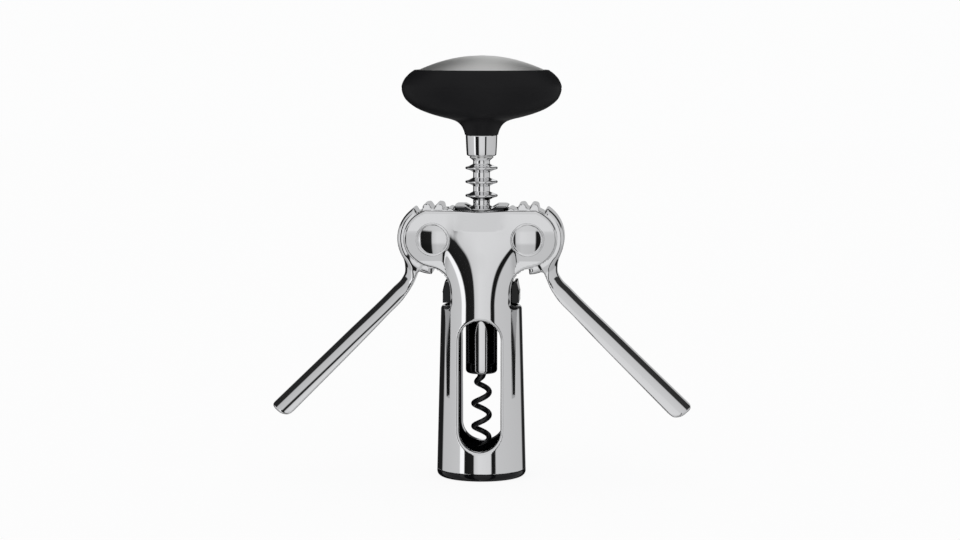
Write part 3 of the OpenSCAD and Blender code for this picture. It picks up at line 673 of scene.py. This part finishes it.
def makeCamera():
    data = bpy.data.cameras.new("camera")
    data.lens = camera["lens"]
    obj = bpy.data.objects.new("camera", data)
    bpy.context.scene.collection.objects.link(obj)
    turn = math.radians(camera["azimuth"])
    obj.location = (camera["distance"] * math.sin(turn) + camera["aimX"],
                    -camera["distance"] * math.cos(turn), camera["height"])
    tilt = math.atan2(camera["height"] - camera["aimZ"], camera["distance"])
    obj.rotation_euler = (math.pi / 2 - tilt, 0, turn)
    bpy.context.scene.camera = obj


# what the metal mirrors: azimuth from straight in front of the object, to the right, and a grey level
studioBands = [
    (-180, 0.5), (-169, 0.5), (-165, 0.015), (-122, 0.012), (-117, 0.56), (-56, 0.62), (-54, 1.1),
    (-43, 1.1), (-42, 0.01), (-18, 0.015), (-16, 0.66), (-4, 0.78), (27, 0.72), (29.5, 0.01),
    (39, 0.01), (41, 0.62), (134, 0.56), (140, 0.02), (165, 0.015), (169, 0.5), (180, 0.5),
]
# the same high up: pale behind the object and in front of it, dark at its sides
upperBands = [
    (-180, 0.9), (-173, 0.9), (-169, 0.02), (-84, 0.02), (-76, 0.55), (-40, 0.6), (0, 0.7), (40, 0.66),
    (78, 0.6), (86, 0.03), (169, 0.03), (173, 0.9), (180, 0.9),
]


# heights on the sky's unit sphere between which one part gives way to the next, and the plain colours
sky = {
    "horizon": (0.2, 0.27), "over": (0.86, 0.97), "overColor": (0.8, 0.8, 0.81, 1),
    "dusk": (-0.32, -0.17), "duskLevel": 0.78,  # the bands grow darker towards the table
    "light": (0.85, 0.85, 0.86, 1), "ground": (0.978, 0.979, 0.98, 1),
}


def bandRamp(tree, bands, turn):
    ramp = tree.nodes.new("ShaderNodeValToRGB")
    stops = ramp.color_ramp.elements
    while len(stops) < len(bands):
        stops.new(0.5)
    for stop, (azimuth, level) in zip(stops, bands):
        stop.position = (azimuth + 180) / 360
        stop.color = (level * 0.985, level * 0.99, level, 1)
    link(tree, turn, ramp.inputs["Fac"])
    return ramp.outputs["Color"]


def mixColor(tree, share, first, second, blend="MIX"):
    # share, first and second are each a socket or a fixed value
    mix = tree.nodes.new("ShaderNodeMix")
    mix.data_type = "RGBA"
    mix.blend_type = blend
    for name, value in (("Factor", share), ("A", first), ("B", second)):
        socket = next(i for i in mix.inputs if i.name == name and i.enabled)
        if isinstance(value, (tuple, float)):
            socket.default_value = value
        else:
            link(tree, value, socket)
    return next(o for o in mix.outputs if o.enabled)


def makeWorld():
    world = bpy.data.worlds.new("studio")
    bpy.context.scene.world = world
    world.use_nodes = True
    tree = world.node_tree
    tree.nodes.clear()
    add = tree.nodes.new
    coords = add("ShaderNodeTexCoord")
    parts = add("ShaderNodeSeparateXYZ")
    link(tree, coords.outputs["Generated"], parts.inputs["Vector"])
    toward = mathNode(tree, "MULTIPLY", parts.outputs["Y"], -1.0)
    turn = mathNode(tree, "ARCTAN2", parts.outputs["X"], toward)
    share = rangeNode(tree, turn, -math.pi, math.pi)
    below = bandRamp(tree, studioBands, share)
    above = bandRamp(tree, upperBands, share)
    z = parts.outputs["Z"]
    horizon = rangeNode(tree, z, *sky["horizon"])
    over = rangeNode(tree, z, *sky["over"])
    dusk = rangeNode(tree, z, *sky["dusk"], sky["duskLevel"], 1, smooth=True)
    shade = add("ShaderNodeCombineColor")
    for name in ("Red", "Green", "Blue"):
        link(tree, dusk, shade.inputs[name])
    below = mixColor(tree, 1.0, below, shade.outputs["Color"], "MULTIPLY")
    bands = mixColor(tree, horizon, below, above)
    bands = mixColor(tree, over, bands, sky["overColor"])
    rays = add("ShaderNodeLightPath")
    bands = mixColor(tree, rays.outputs["Is Glossy Ray"], sky["light"], bands)
    seen = mathNode(tree, "MAXIMUM", rays.outputs["Is Camera Ray"], rays.outputs["Is Transmission Ray"])
    final = mixColor(tree, seen, bands, sky["ground"])
    background = add("ShaderNodeBackground")
    link(tree, final, background.inputs["Color"])
    output = add("ShaderNodeOutputWorld")
    link(tree, background.outputs["Background"], output.inputs["Surface"])


def makeFloor():
    mesh = bpy.data.meshes.new("floor")
    half = 3.0
    corners = [(-half, -half, 0), (half, -half, 0), (half, half, 0), (-half, half, 0)]
    mesh.from_pydata(corners, [], [(0, 1, 2, 3)])
    floor = bpy.data.objects.new("floor", mesh)
    floor.visible_glossy = False  # the metal mirrors the studio's bands, below the horizon too
    bpy.context.scene.collection.objects.link(floor)
    mat = newMaterial("paleFloor", (0.93, 0.93, 0.93), 0, 0.8, 0.1)
    mesh.materials.append(mat)
    tree = mat.node_tree
    rays = tree.nodes.new("ShaderNodeLightPath")
    glow = tree.nodes.new("ShaderNodeEmission")
    glow.inputs["Color"].default_value = (1, 1, 1, 1)
    mix = tree.nodes.new("ShaderNodeMixShader")
    link(tree, mathNode(tree, "MULTIPLY", rays.outputs["Is Camera Ray"], 0.9), mix.inputs["Fac"])
    link(tree, tree.nodes["Principled BSDF"].outputs["BSDF"], mix.inputs[1])
    link(tree, glow.outputs["Emission"], mix.inputs[2])
    link(tree, mix.outputs["Shader"], tree.nodes["Material Output"].inputs["Surface"])


makeCamera()
makeWorld()
makeFloor()
bpy.context.scene.view_settings.view_transform = "Standard"
print("stage made")
